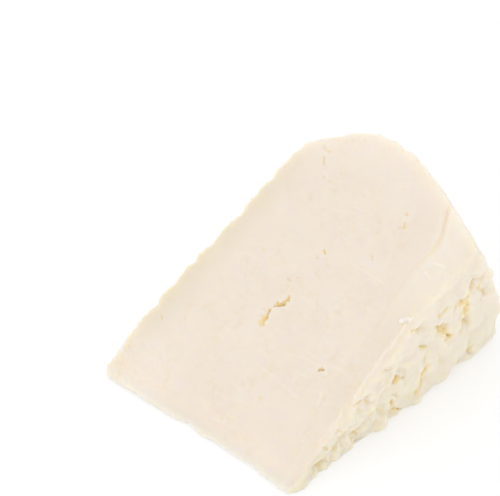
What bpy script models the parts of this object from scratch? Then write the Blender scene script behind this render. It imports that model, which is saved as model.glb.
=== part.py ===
"""A wedge of imeretian cheese: a sector of a small round wheel of fresh pressed curd, lying on a cut face.

The wheel's axis runs along Y, at the wedge's thin edge. +X points out to the rind and +Z is up. The near face
(-Y) and the far face (+Y) are the wheel's own flat sides, where the curds still show. The lower cut face is
what the wedge rests on. Lengths are millimetres until the last step, which turns them into metres.
"""

import math

import bmesh
import bpy
from mathutils import Matrix, Vector, noise

# Driving dimensions, in millimetres and degrees
WEDGE_ANGLE = 33.8
THIN_EDGE_RADIUS = 2.9
THIN_CORNER_CUT = 3.0
CENTRE_THICKNESS = 65.2
BULGE_RADIUS = 93.8
BULGE_HEIGHT = 32.5
NEAR_RIM_RADIUS = 82.8
NEAR_RIM_HEIGHT = -5.8
FAR_RIM_RADIUS = 81.6
FAR_RIM_HEIGHT = 51.6
EDGE_ROUNDING = 0.7
STRIP_ROUNDING = 1.6
THIN_ROUNDING = 1.1
SETTLING = 0.3
SKIN_SPACING = 0.6
TRIANGLES = 9200

# The wheel's own pattern of curds: another number gives another cheese
PATTERN = 7

# How far the thin edge bows in at its middle, and how far the outline wanders over what length
THIN_BOW = 1.4
FINE_DRIFT = 0.55
FINE_WAVE = 4.6
WIDE_DRIFT = 0.5
WIDE_WAVE = 13.0

# The natural faces: widths of the curds and crumbs, how much each bulges where the skin is whole and where it
# is broken open, how far it stands above or below the others, how deep the valleys open, and the rind's share
CURD = 5.2
CURD_SEED = 3.7
CRUMB = 2.6
CRUMB_SEED = 11.3
CRUMB_PATCH = 6.0
CURD_WARP = 0.25
CURD_MELT = 0.03
CURD_MIDDLE = 0.17
CURD_LIFT = 0.13
WHOLE_BULGE = 0.10
BROKEN_BULGE = 0.32
VALLEY_GAIN = 0.5
SKIN_SWELL = 0.45
SWELL_WIDTH = 15.0
BREAK_WIDTH = 19.0
RIND_SHARE = 0.6
# How far a face has to turn away from the cuts for its relief to begin, and to be full
UPPER_FADE = (0.45, 0.9)
LOWER_FADE = (0.15, 0.5)
# How squarely a face has to lie along a cut for the knife's marks to begin, and to be full
CUT_FADE = (0.55, 0.95)

# The strip beside the near face: the fold where it begins on the upper cut face, as distances from the axis
# and heights along it, how far the strip is pressed down, most at the rim, and the groove along the fold
FOLD = ((0.0, 3.4), (15.0, 4.0), (28.0, 5.4), (42.0, 4.3), (58.0, 4.0), (74.5, 2.3), (86.0, 6.0), (98.0, 9.5))
STRIP_DROP = 1.2
RIM_DROP = 5.0
RIM_PULL = 3.4
BASE_PULL = 1.4
FOLD_GROOVE = 0.22
RIM_GROOVE = 0.8
FOLD_WIDTH = 0.9

# Eyes of the cut faces: a short stroke from one place to another, half its width, its depth
CUT_SWELL = 0.35
EYE_RAGGEDNESS = 0.35
EYE_GRAIN = 1.1
UPPER_EYES = (
    (44.9, 28.9, 41.5, 31.3, 0.75, 1.09),
    (41.5, 31.3, 39.6, 32.3, 0.45, 0.67),
    (39.4, 32.5, 37.7, 31.9, 0.80, 1.01),
    (37.7, 31.9, 35.4, 31.8, 0.90, 1.18),
    (33.0, 10.5, 32.6, 9.8, 0.60, 1.01),
    (59.3, 28.1, 59.1, 27.8, 0.50, 0.67),
    (57.3, 29.0, 57.1, 28.8, 0.40, 0.34),
    (78.0, 14.4, 77.9, 14.0, 0.50, 0.50),
    (75.6, 13.0, 74.6, 12.7, 0.50, 0.50),
    (74.6, 12.7, 73.8, 13.7, 0.45, 0.42),
    (64.5, 16.3, 63.5, 15.0, 0.45, 0.42),
    (83.6, 45.5, 82.9, 43.2, 0.50, 0.46),
    (81.1, 43.6, 79.4, 42.4, 0.60, 0.59),
    (76.4, 40.6, 76.4, 40.0, 0.50, 0.38),
    (48.7, 32.5, 48.5, 31.9, 0.40, 0.34),
    (50.1, 30.6, 49.8, 30.2, 0.40, 0.29),
    (23.6, 58.0, 23.0, 57.4, 0.45, 0.38),
)
LOWER_EYES = (
    (59.0, 38.0, 62.5, 41.5, 0.80, 1.01),
    (27.0, 22.0, 28.5, 20.5, 0.60, 0.76),
    (71.0, 14.0, 71.6, 12.6, 0.55, 0.59),
    (41.0, 50.0, 41.6, 49.0, 0.50, 0.50),
)

# Pits between the curds of the near face: from one distance out and height to another, half width, depth
PIT_RAGGEDNESS = 0.6
PIT_GRAIN = 2.2
HOLLOW_RAGGEDNESS = 0.8
HOLLOW_GRAIN = 5.0
PIT_REACH = 3.2
PIT_ON_CURD = 0.3
PIT_IN_VALLEY = 4.0
NEAR_PITS = (
    (45.4, 27.6, 47.4, 26.6, 0.9, 0.40),
    (68.8, 28.8, 68.0, 27.2, 1.2, 0.90),
    (67.4, 26.0, 64.6, 24.2, 1.3, 1.20),
    (66.8, 22.0, 66.4, 15.6, 1.2, 0.98),
    (58.4, 26.4, 55.6, 25.4, 0.9, 0.68),
    (55.8, 21.8, 58.0, 19.6, 1.3, 1.35),
    (58.0, 19.6, 61.4, 15.0, 1.2, 1.12),
    (50.6, 18.2, 52.2, 17.4, 0.9, 0.90),
    (52.4, 16.6, 51.2, 12.0, 0.6, 0.45),
    (71.2, 5.8, 70.2, 4.0, 0.8, 0.83),
    (65.2, 2.6, 63.4, 1.0, 0.8, 0.75),
    (37.6, 19.0, 34.8, 19.9, 0.7, 0.35),
    (40.8, 13.2, 43.4, 12.2, 1.0, 1.20),
    (51.4, 9.6, 50.2, 6.4, 1.2, 1.20),
    (50.2, 6.4, 48.2, 5.2, 1.2, 1.12),
    (39.4, 9.0, 41.2, 8.3, 0.8, 0.68),
    (39.6, 7.6, 40.6, 3.4, 0.7, 0.68),
    (40.6, 3.4, 43.8, 0.6, 1.2, 1.20),
    (25.6, 15.0, 27.8, 14.4, 0.7, 0.35),
    (31.2, 17.0, 30.2, 14.6, 1.1, 0.28),
    (19.0, 12.0, 20.6, 9.8, 1.1, 0.35),
    (26.6, 5.2, 27.4, 3.2, 0.8, 0.75),
    (25.8, 3.0, 23.6, 1.8, 1.1, 1.05),
    (18.6, 5.0, 16.8, 6.0, 1.0, 0.98),
    (15.4, 7.2, 13.8, 9.0, 0.9, 0.75),
    (12.2, 4.8, 10.6, 2.4, 1.3, 0.90),
    (71.2, 25.4, 74.8, 21.2, 0.7, 0.45),
)

# Low mounds, and bites as mounds below zero, at the upper cut face's edges and on the near face: distance out
# and height of the middle, half width, how far they stand out
UPPER_EDGE_MOUNDS = (
    (12.4, 62.4, 3.6, -0.9),
    (16.4, 65.0, 2.6, -1.0),
    (19.4, 63.6, 2.2, 0.5),
    (33.0, 62.8, 3.0, -1.2),
    (58.0, 57.8, 3.6, -2.2),
    (76.5, 54.4, 2.4, -1.2),
    (83.5, -5.0, 5.0, -1.3),
)
NEAR_MOUNDS = (
    (4.5, 1.0, 8.0, 1.0),
    (17.4, 1.4, 4.4, 1.5),
    (26.0, 1.0, 3.4, 0.5),
    (35.8, 2.0, 4.8, 1.5),
    (48.0, 1.8, 4.4, 1.4),
    (59.0, 1.6, 4.0, 0.6),
    (72.0, 1.6, 4.5, 0.9),
    (76.6, 28.0, 4.5, 1.2),
    (82.0, 6.5, 5.5, -1.0),
)

UPPER_OUT = Vector((-math.sin(math.radians(WEDGE_ANGLE)), 0.0, math.cos(math.radians(WEDGE_ANGLE))))
LOWER_OUT = Vector((0.0, 0.0, -1.0))


def ramp(low, high, value):
    """0 below low, 1 above high, and a smooth rise between them."""
    t = min(max((value - low) / (high - low), 0.0), 1.0)
    return t * t * (3.0 - 2.0 * t)


def between(points, value):
    """The value that a line through the points has at this place."""
    for (x0, y0), (x1, y1) in zip(points, points[1:]):
        if value <= x1:
            return y0 + (y1 - y0) * max(value - x0, 0.0) / (x1 - x0)
    return points[-1][1]


# The plain wedge

def near_side(radius):
    """Height along the axis of the wheel's near face, which is domed a little and flares towards the rim."""
    out = radius / NEAR_RIM_RADIUS
    return NEAR_RIM_HEIGHT * (0.1 + 1.3 * out - 0.4 * out * out)


def far_side(radius):
    """Height of the far face, which is gently domed."""
    out = radius / FAR_RIM_RADIUS
    return CENTRE_THICKNESS + (FAR_RIM_HEIGHT - CENTRE_THICKNESS) * (0.6 * out + 0.4 * out * out)


def rind_radius(height):
    """Radius of the rind, which bulges at mid height and falls away to both rims."""
    if height < BULGE_HEIGHT:
        fall = (BULGE_HEIGHT - height) / (BULGE_HEIGHT - NEAR_RIM_HEIGHT)
        return BULGE_RADIUS - (BULGE_RADIUS - NEAR_RIM_RADIUS) * fall ** 1.85
    fall = (height - BULGE_HEIGHT) / (FAR_RIM_HEIGHT - BULGE_HEIGHT)
    return BULGE_RADIUS - (BULGE_RADIUS - FAR_RIM_RADIUS) * fall ** 1.4


def wheel_outline():
    """Half of the wheel's section: out along the near face, up the rind, back along the far face."""
    radii = [THIN_EDGE_RADIUS + (NEAR_RIM_RADIUS - THIN_EDGE_RADIUS) * i / 8 for i in range(8)]
    heights = [NEAR_RIM_HEIGHT + (FAR_RIM_HEIGHT - NEAR_RIM_HEIGHT) * i / 16 for i in range(17)]
    near = [(r, near_side(r)) for r in radii]
    rind = [(rind_radius(y), y) for y in heights]
    far = [(r, far_side(r)) for r in reversed(radii[1:])]
    thin_corner = [
        (THIN_EDGE_RADIUS + THIN_CORNER_CUT, far_side(THIN_EDGE_RADIUS) - 0.2 * THIN_CORNER_CUT),
        (THIN_EDGE_RADIUS, far_side(THIN_EDGE_RADIUS) - THIN_CORNER_CUT),
    ]
    return near + rind + far + thin_corner


def spin_wedge():
    """The plain wedge: the wheel's section spun about the axis through the wedge's angle."""
    bm = bmesh.new()
    corners = [bm.verts.new((r, y, 0.0)) for r, y in wheel_outline()]
    section = bm.faces.new(corners)
    bmesh.ops.spin(
        bm, geom=[section, *section.edges, *section.verts], cent=(0, 0, 0), axis=(0, -1, 0),
        angle=math.radians(WEDGE_ANGLE), steps=10, use_merge=False,
    )
    bmesh.ops.recalc_face_normals(bm, faces=bm.faces)
    mesh = bpy.data.meshes.new("cheese")
    bm.to_mesh(mesh)
    bm.free()
    return mesh


def applied(obj, kind, **settings):
    """Adds a modifier to the object and puts its result in the object's mesh."""
    modifier = obj.modifiers.new(kind.title(), kind)
    for name, value in settings.items():
        setattr(modifier, name, value)
    depsgraph = bpy.context.evaluated_depsgraph_get()
    result = bpy.data.meshes.new_from_object(obj.evaluated_get(depsgraph))
    obj.modifiers.clear()
    old = obj.data
    obj.data = result
    bpy.data.meshes.remove(old)


def pressed(place):
    """Where a point of the plain wedge ends up: the strip beside the near face sinks, most at the rim."""
    radius = math.hypot(place.x, place.z)
    share = math.atan2(place.z, place.x) / math.radians(WEDGE_ANGLE)
    fold = between(FOLD, radius)
    across = min(max((fold - place.y) / (fold - near_side(radius)), 0.0), 1.0)
    drop = STRIP_DROP * across ** 2 + RIM_DROP * across * ramp(54.0, 80.0, radius)
    lowered = Matrix.Rotation(drop / max(radius, 12.0) * share, 3, "Y") @ place
    pull = RIM_PULL * ramp(0.2, 1.0, share) + BASE_PULL * (1.0 - ramp(0.0, 0.25, share))
    shrink = 1.0 - pull * ramp(-22.0, 5.0, -place.y) * ramp(60.0, 84.0, radius) / radius
    return Vector((lowered.x * shrink, lowered.y, lowered.z * shrink))


def drift(place):
    """How far the soft wedge is out of true here: its outline wanders, but the knife's faces stay flat."""
    move = FINE_DRIFT * noise.noise_vector(place / FINE_WAVE)
    move += WIDE_DRIFT * noise.noise_vector(place / WIDE_WAVE)
    bow = THIN_BOW * ((2.0 * place.y / CENTRE_THICKNESS - 1.0) ** 2 - 0.4)
    thin = Vector((FINE_DRIFT * noise.noise(place / FINE_WAVE) - bow, 0.0, 0.0))
    for out, depth in ((UPPER_OUT, -place.dot(UPPER_OUT)), (LOWER_OUT, place.z)):
        move -= (1.0 - ramp(1.0, 4.0, depth)) * move.dot(out) * out
    return move + (1.0 - ramp(4.0, 9.0, place.x)) * thin


def press_strip(bm):
    """Presses the strip down beside the near face, pulls the rim in there and lets the outline wander."""
    for vert in bm.verts:
        vert.co = pressed(vert.co) + drift(vert.co)


def blur(bm, verts, width):
    """Smooths these points until an edge among them is about this wide, in millimetres."""
    for _ in range(round(2.0 * (width / SKIN_SPACING) ** 2) + 1):
        bmesh.ops.smooth_vert(bm, verts=verts, factor=0.5, use_axis_x=True, use_axis_y=True, use_axis_z=True)


def round_edges(bm):
    """Softens the knife's edges, most at the thin edge and where the strip turns down into the near face."""

    def turns_down(vert):
        radius = math.hypot(vert.co.x, vert.co.z)
        height = min(vert.co.z, -vert.co.dot(UPPER_OUT))
        return height < 2.0 * STRIP_ROUNDING and abs(vert.co.y - near_side(radius)) < 2.0 * STRIP_ROUNDING

    blur(bm, bm.verts, EDGE_ROUNDING)
    blur(bm, [vert for vert in bm.verts if math.hypot(vert.co.x, vert.co.z) < 7.0], THIN_ROUNDING)
    blur(bm, [vert for vert in bm.verts if turns_down(vert)], STRIP_ROUNDING)


# The relief

def stroke_distance(u, v, stroke):
    """Distance from (u, v) to the line of a stroke."""
    u0, v0, u1, v1 = stroke[:4]
    along_u, along_v, here_u, here_v = u1 - u0, v1 - v0, u - u0, v - v0
    length_squared = max(along_u * along_u + along_v * along_v, 1e-6)
    share = min(max((here_u * along_u + here_v * along_v) / length_squared, 0.0), 1.0)
    return math.hypot(here_u - share * along_u, here_v - share * along_v)


def dents(u, v, strokes, ragged, grain):
    """Depth of the deepest of the strokes at this place on a face, with outlines ragged at this grain."""
    spot = Vector((u, v, 7.0)) / grain
    wander = ragged * noise.noise_vector(spot)
    spread = 1.0 + 0.8 * noise.noise(1.9 * spot)
    u, v = u + wander.x, v + wander.y
    deepest = 0.0
    for stroke in strokes:
        half_width, depth = stroke[4:]
        away = stroke_distance(u, v, stroke) / (half_width * spread)
        if away < 1.0:
            deepest = max(deepest, depth * (1.0 - ramp(0.1, 1.0, away)))
    return deepest


def mounds(u, v, spots):
    """How far the low mounds, or the bites, lift a place on a face."""
    return sum(
        height * (1.0 - ramp(0.0, 1.0, math.hypot(u - middle_u, v - middle_v) / half_width))
        for middle_u, middle_v, half_width, height in spots
    )


def dice(centre):
    """Three random numbers from -1 to 1 that belong to one curd."""
    return 2.0 * noise.cell_vector(centre * 37.0) - Vector((1.0, 1.0, 1.0))


def curds(place, size, seed, broken):
    """Height of rounded curds pressed side by side, and how deep in a valley between them a place lies."""
    spot = place / size + Vector((seed, 0.7 * seed, 0.3 * seed))
    spot += CURD_WARP * noise.noise_vector(spot * 1.3)
    lift = CURD_LIFT * (0.3 + 0.7 * broken)
    caps = (
        math.exp((lift * dice(centre).x - distance ** 2) / CURD_MELT)
        for distance, centre in zip(*noise.voronoi(spot))
    )
    dome = CURD_MIDDLE + CURD_MELT * math.log(sum(caps))
    valley = max(-dome, 0.0)
    bulge = WHOLE_BULGE + (BROKEN_BULGE - WHOLE_BULGE) * broken
    return size * (bulge * dome - VALLEY_GAIN * broken * valley), valley


def crumbliness(place, facing_near):
    """How broken the natural skin is here, from 0 to 1: in patches, and on the near face round its pits."""
    patches = ramp(-0.1, 0.45, noise.noise(place / BREAK_WIDTH + Vector((5.1, 0.0, 2.3))))
    if facing_near <= 0.0:
        return patches
    nearest = min(stroke_distance(place.x, place.z, pit) for pit in NEAR_PITS)
    broken = (0.2 + 0.8 * math.exp(-((nearest / PIT_REACH) ** 2))) * ramp(1.0, 5.0, -place.dot(UPPER_OUT))
    return facing_near * broken + (1.0 - facing_near) * patches


def near_pits(place):
    """Depth of the pits in the near face: a narrow core in a wide soft hollow."""
    wide = [(*pit[:4], 2.6 * pit[4], 0.4 * pit[5]) for pit in NEAR_PITS]
    core = [(*pit[:4], 1.1 * pit[4], 0.8 * pit[5]) for pit in NEAR_PITS]
    hollow = dents(place.x, place.z, wide, HOLLOW_RAGGEDNESS, HOLLOW_GRAIN)
    return hollow + dents(place.x, place.z, core, PIT_RAGGEDNESS, PIT_GRAIN)


def natural_surface(place, facing_near):
    """Height of the wheel's own skin: curds, crumbs, a slow swell, and pits that deepen in the valleys."""
    crumbly = crumbliness(place, facing_near)
    large, valley = curds(place, CURD, CURD_SEED, crumbly)
    small, _ = curds(place, CRUMB, CRUMB_SEED, crumbly)
    loose = crumbly * ramp(-0.2, 0.4, noise.noise(place / CRUMB_PATCH))
    pit = facing_near * near_pits(place) if facing_near > 0.0 else 0.0
    swell = SKIN_SWELL * noise.noise(place / SWELL_WIDTH)
    return large + loose * small + swell - pit * (PIT_ON_CURD + PIT_IN_VALLEY * valley)


def cut_surface(radius, height, eyes):
    """Height of a cut face over its plane."""
    swell = CUT_SWELL * noise.noise(Vector((radius / 20.0, height / 26.0, 1.7)))
    return swell - dents(radius, height, eyes, EYE_RAGGEDNESS, EYE_GRAIN)


def strip_groove(radius, height):
    """Depth of the groove along the fold, which is sharpest near the rim."""
    away = (between(FOLD, radius) - height) / FOLD_WIDTH
    return (FOLD_GROOVE + RIM_GROOVE * ramp(58.0, 78.0, radius)) * math.exp(-(away ** 2))


def relief(place, out):
    """How far the real surface stands out of the even skin at a place that faces this way."""
    radius = math.hypot(place.x, place.z)
    outward = out.dot(Vector((place.x, 0.0, place.z)) / radius)
    natural = ramp(*(UPPER_FADE if out.z > 0.0 else LOWER_FADE), max(abs(out.y), outward))
    upper = ramp(*CUT_FADE, out.dot(UPPER_OUT))
    lower = ramp(*CUT_FADE, out.dot(LOWER_OUT))
    beside_top = 1.0 - ramp(0.5, 3.5, -place.dot(UPPER_OUT))
    height = 0.0
    if natural > 0.0:
        facing_near = ramp(0.2, 0.7, -out.y)
        share = RIND_SHARE if outward > abs(out.y) else 1.0
        height += natural * share * natural_surface(place, facing_near)
        height += natural * facing_near * mounds(place.x, place.z, NEAR_MOUNDS)
    if upper > 0.0:
        height += upper * (cut_surface(radius, place.y, UPPER_EYES) - strip_groove(radius, place.y))
    if lower > 0.0:
        height += lower * cut_surface(radius, place.y, LOWER_EYES)
    if beside_top > 0.0:
        height += beside_top * mounds(radius, place.y, UPPER_EDGE_MOUNDS)
    return height


def carve(bm):
    """Moves each point of the even skin out or in by what the real surface does there."""
    bm.normal_update()
    moves = [vert.normal * relief(vert.co, vert.normal) for vert in bm.verts]
    for vert, move in zip(bm.verts, moves):
        vert.co += move


# Finishing

def settle(obj):
    """Cuts the underside flat, where the wedge has settled on what it lies on."""
    bm = bmesh.new()
    bmesh.ops.create_cube(bm, size=4.0 * BULGE_RADIUS)
    bmesh.ops.translate(bm, verts=bm.verts, vec=(0.0, 0.0, SETTLING - 2.0 * BULGE_RADIUS))
    mesh = bpy.data.meshes.new("ground")
    bm.to_mesh(mesh)
    bm.free()
    ground = bpy.data.objects.new("ground", mesh)
    bpy.context.collection.objects.link(ground)
    applied(obj, "BOOLEAN", operation="DIFFERENCE", object=ground)
    bpy.data.objects.remove(ground, do_unlink=True)


def edit(obj, *steps):
    """Runs the steps, in turn, on the object's mesh."""
    bm = bmesh.new()
    bm.from_mesh(obj.data)
    for step in steps:
        step(bm)
    bm.to_mesh(obj.data)
    bm.free()


def middle_of(obj):
    """The middle of the object's box across the floor, at the height that it rests at."""
    places = [vert.co for vert in obj.data.vertices]
    across = [(min(p[i] for p in places) + max(p[i] for p in places)) / 2 for i in range(2)]
    return Vector((*across, SETTLING))


def fresh_cheese():
    """Moist white curd: pale cream, softly glossy, light passes a little way into it."""
    material = bpy.data.materials.new("fresh white cheese")
    material.use_nodes = True
    shader = material.node_tree.nodes["Principled BSDF"]
    shader.inputs["Base Color"].default_value = (0.88, 0.80, 0.68, 1.0)
    shader.inputs["Roughness"].default_value = 0.5
    shader.inputs["Metallic"].default_value = 0.0
    return material


def main():
    for old in list(bpy.data.objects):
        bpy.data.objects.remove(old, do_unlink=True)
    noise.seed_set(PATTERN)
    cheese = bpy.data.objects.new("cheese", spin_wedge())
    bpy.context.collection.objects.link(cheese)
    applied(cheese, "REMESH", mode="VOXEL", voxel_size=SKIN_SPACING)
    edit(cheese, press_strip, round_edges, carve)
    faces = len(cheese.data.polygons)
    applied(cheese, "DECIMATE", ratio=TRIANGLES / (2.0 * faces))
    settle(cheese)
    cheese.data.transform(Matrix.Scale(0.001, 4) @ Matrix.Translation(-middle_of(cheese)))
    cheese.data.materials.append(fresh_cheese())
    cheese.data.shade_smooth()
    cheese.data.set_sharp_from_angle(angle=math.radians(40.0))


main()
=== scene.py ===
"""The looks of a wedge of imeretian cheese, a moist fresh white cheese of pressed curds.

One piece, modelled as a sector of the wheel it was cut from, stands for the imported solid. The wheel's axis
runs along Y at the wedge's thin edge, +X points out to the rind and +Z is up. The near face (-Y) and the far
face (+Y) are the wheel's own flat sides. The wedge is modelled in millimetres, and its last step turns them
into metres.

A place on a cut face is given by its radius, the distance from the axis, and its height, the distance along
the axis (Y). A place on the near face is given by X and Z.
"""

import math

import bmesh
import bpy
import numpy as np
from mathutils import Matrix, Vector, noise


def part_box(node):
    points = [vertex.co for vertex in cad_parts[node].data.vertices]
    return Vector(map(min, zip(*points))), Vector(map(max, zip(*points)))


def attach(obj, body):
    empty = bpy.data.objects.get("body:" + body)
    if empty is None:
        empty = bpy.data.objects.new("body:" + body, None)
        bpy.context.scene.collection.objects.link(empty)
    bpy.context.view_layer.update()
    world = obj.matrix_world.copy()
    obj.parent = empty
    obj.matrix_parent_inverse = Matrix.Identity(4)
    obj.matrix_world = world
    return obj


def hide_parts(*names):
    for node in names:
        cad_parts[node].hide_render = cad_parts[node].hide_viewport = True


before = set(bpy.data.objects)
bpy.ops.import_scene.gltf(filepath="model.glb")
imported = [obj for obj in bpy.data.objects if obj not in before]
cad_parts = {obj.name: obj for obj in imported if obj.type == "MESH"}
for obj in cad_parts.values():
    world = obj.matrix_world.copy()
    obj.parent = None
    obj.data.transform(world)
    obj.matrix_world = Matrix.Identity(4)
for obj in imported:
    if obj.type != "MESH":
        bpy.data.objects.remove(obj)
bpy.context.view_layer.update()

MM = 0.001

# The plain wedge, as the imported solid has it, in millimetres and degrees
WEDGE_ANGLE = 33.8
THIN_EDGE_RADIUS = 2.9
THIN_CORNER_CUT = 3.0
CENTRE_THICKNESS = 65.2
BULGE_RADIUS = 93.8
BULGE_HEIGHT = 32.5
NEAR_RIM_RADIUS = 82.8
NEAR_RIM_HEIGHT = -5.8
FAR_RIM_RADIUS = 81.6
FAR_RIM_HEIGHT = 51.6
# How the flat faces fall to their rims: the near face's share at the axis, and the shares that grow with the
# radius and with its square. Then the powers by which the rind falls away to the two rims
NEAR_START = 0.1
NEAR_SLOPE = 1.3
NEAR_CURVE = -0.4
FAR_SLOPE = 0.6
FAR_CURVE = 0.4
NEAR_FALL = 1.85
FAR_FALL = 1.4
# How far in along the axis the cut corner's outer end lies, for each millimetre of the cut
CORNER_SLOPE = 0.2
# Into how many steps each flat face, the rind and the wedge's angle are divided
FACE_STEPS = 8
RIND_STEPS = 16
ANGLE_STEPS = 10
# How widely all edges are rounded, the thin edge within a radius, and the strip's turn into the near face
EDGE_ROUNDING = 0.7
THIN_ROUNDING = 1.1
THIN_REACH = 7.0
STRIP_ROUNDING = 1.6
# Towards the rim the strip rolls over into the near face: past each of these radii it is softened again
ROLL_STARTS = (48.0, 53.0, 58.0, 63.0)
# How much is cut off the underside, where the wedge has settled, and the spacing of the skin's points
SETTLING = 0.3
SKIN_SPACING = 0.54

# The wheel's own pattern of curds: another number gives another cheese
PATTERN = 7

# How far the outline wanders, over what length, and between which depths below a cut face it begins to
FINE_DRIFT = 0.55
FINE_WAVE = 4.6
WIDE_DRIFT = 0.5
WIDE_WAVE = 13.0
DRIFT_DEPTHS = (1.0, 4.0)
# How much the thin edge bows in at its middle against its ends, the share of this by which the middle itself
# moves, and between which distances out the bow fades away
THIN_BOW = 1.4
BOW_IN = 0.4
BOW_FADE = (4.0, 9.0)

# The natural faces are covered with curds and, in patches, with crumbs and grains: how wide each kind is, how
# far out in the noise its layout lies, in the direction SEED_WAY, and how strongly the small kinds show
SEED_WAY = (1.0, 0.7, 0.3)
CURD = 5.2
CURD_SEED = 3.7
CRUMB = 2.6
CRUMB_SEED = 11.3
CRUMB_SHARE = 1.0
GRAIN = 1.4
GRAIN_SEED = 19.1
GRAIN_SHARE = 0.8
# How wide those patches are, and between which values of their noise they come in
CRUMB_PATCH = 6.0
CRUMB_PATCH_EDGE = (-0.2, 0.4)
# The form of a curd, in its own widths: how far and how finely its outline is bent, how softly it joins the
# next one, how high its middle is, how far it stands above or below the others, and the share of this last
# that is left where the skin is whole
CURD_WARP = 0.25
WARP_GRAIN = 1.3
CURD_MELT = 0.03
CURD_MIDDLE = 0.17
CURD_LIFT = 0.13
WHOLE_LIFT_SHARE = 0.3
# Spreads the curds' middles out, so that each draws its own random numbers
DICE_SPREAD = 37.0
# How much a curd bulges where the skin is whole and where it is broken open, and how deep valleys open there
WHOLE_BULGE = 0.10
BROKEN_BULGE = 0.14
VALLEY_GAIN = 0.3
# The slow swell under the curds, and the rind's share of all this
SKIN_SWELL = 0.45
SWELL_WIDTH = 15.0
RIND_SHARE = 0.6
# The patches where the skin is broken open: how wide they are, where in the noise they lie, and between which
# of its values they come in
BREAK_WIDTH = 19.0
BREAK_SPOT = Vector((5.1, 0.0, 2.3))
BREAK_EDGE = (-0.1, 0.45)
# The near face is broken and finely crumbly all over up to the first of these distances out, and as whole as
# this from the second on, save round its pits. Right below the upper cut it is whole, down to these depths
CRUMBLY_END = (18.0, 60.0)
SKIN_WHOLENESS = 0.8
BREAK_DEPTHS = (1.0, 5.0)
# How far a face has to turn to the near side for its pits to begin, and to be full
NEAR_FADE = (0.2, 0.7)
# How far a face has to turn away from the cuts for its relief to begin, and to be full
UPPER_FADE = (0.45, 0.9)
LOWER_FADE = (0.15, 0.5)
# The thin corner stays whole: how far a face has to turn to the far side for this to begin, and to be full,
# and between which radii it ends
FAR_FADE = (0.0, 0.4)
CORNER_FADE = (4.0, 12.0)
# How squarely a face has to lie along a cut for the knife's marks to begin, and to be full, and then the same
# for the smears
CUT_FADE = (0.55, 0.95)
SMEAR_FADE = (0.3, 0.7)

# The strip beside the near face: the fold where it begins on the upper cut face, as radii and heights, and
# how far past the fold a place begins to belong to the strip, and does so in full
FOLD = (
    (0.0, 3.4), (15.0, 4.0), (28.0, 5.4), (42.0, 4.3), (58.0, 4.2), (66.0, 3.9), (70.0, 3.0), (72.5, 2.4),
    (75.0, 2.3), (78.0, 2.8), (82.0, 4.4), (86.0, 6.0), (98.0, 9.5),
)
PAST_FOLD = (-0.5, 1.5)
# How far the strip is pressed down, how much further at the rim, between which radii this comes in, and the
# radius within which it is pressed less
STRIP_DROP = 1.2
RIM_DROP = 5.0
RIM_DROP_RADII = (54.0, 80.0)
LOW_LEVER = 12.0
# How far the rim is pulled in at the upper cut and at the foot, between which shares of the wedge's angle the
# first comes in and the second fades away, and between which heights and radii both come in
RIM_PULL = 3.4
RIM_PULL_SHARES = (0.2, 1.0)
BASE_PULL = 1.4
BASE_PULL_SHARES = (0.0, 0.25)
PULL_HEIGHTS = (22.0, -5.0)
PULL_RADII = (60.0, 84.0)
# The groove along the fold: its depth, how much deeper it gets between two radii near the rim, and its width
FOLD_GROOVE = 0.16
RIM_GROOVE = 0.22
RIM_GROOVE_START = (66.0, 78.0)
FOLD_WIDTH = 0.45
# Its yellow, partly a stain and partly painted shade in the groove, which comes and goes: how strong it is,
# the least share of that, how long its stretches are, where in the noise they lie, between which of its
# values they come in, and between which depths of the groove the yellow does, as shares of the first depth
# above
FOLD_STAIN_AND_SHADE = 0.26
STRETCH_LEAST = 0.4
FOLD_TINT_STRETCH = 6.0
STRETCH_SEED = 3.1
STRETCH_EDGE = (-0.35, 0.35)
FOLD_TINT_DEPTHS = (0.2, 1.8)

# Colours that follow the wedge's shape. The strip takes the natural skin's colour between these radii
STRIP_SKIN = (30.0, 60.0)
# Painted light makes it paler too, shining through its edge: between which radii, from what share on, how
# pale, and between which depths below the upper cut this ends. Painted light makes the cut face's rim paler
# between two radii, by a share of that
STRIP_LIGHT_RADII = (45.0, 78.0)
STRIP_LIGHT_LEAST = 0.1
STRIP_PAINTED_LIGHT = 0.65
STRIP_LIGHT_DEPTHS = (2.0, 6.0)
RIM_LIGHT_RADII = (76.0, 92.0)
RIM_LIGHT_SHARE = 0.5
# The yellower band along the far edge, partly the cheese's own and partly painted shade and painted warm
# reflected
# light: how wide it is, between which radii it ends, and how yellow it is
FAR_BAND = 11.0
FAR_BAND_END = (64.0, 84.0)
FAR_BAND_WARMTH_AND_SHADE = 0.7
# Painted shade greys the foot of the natural faces: how high up it ends, where it is full, and how grey it
# then is
FOOT_TOP = 7.0
FOOT_FULL = 0.5
FOOT_PAINTED_SHADE = 0.45
# Painted shade greys the low end of the near face, which ends between these radii, and the strip's low end:
# how grey each is
LOW_END = (8.0, 28.0)
LOW_END_PAINTED_SHADE = 0.5
STRIP_PAINTED_SHADE = 0.14
# Painted shade makes the thin edge darker and cooler against the light shining through it; it ends between
# these radii
THIN_EDGE = (3.5, 7.5)
EDGE_PAINTED_SHADE = 0.6
# The pale patch near its far corner: between which radii it ends, between which heights it comes in, how pale
# it is, the least share of that, and between which values of the noise its flecks come in
FLECKS_OUT = (13.0, 24.0)
FLECKS_UP = (40.0, 52.0)
FLECK_PALENESS = 0.45
FLECK_LEAST = 0.5
FLECK_EDGE = (-0.3, 0.4)

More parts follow.
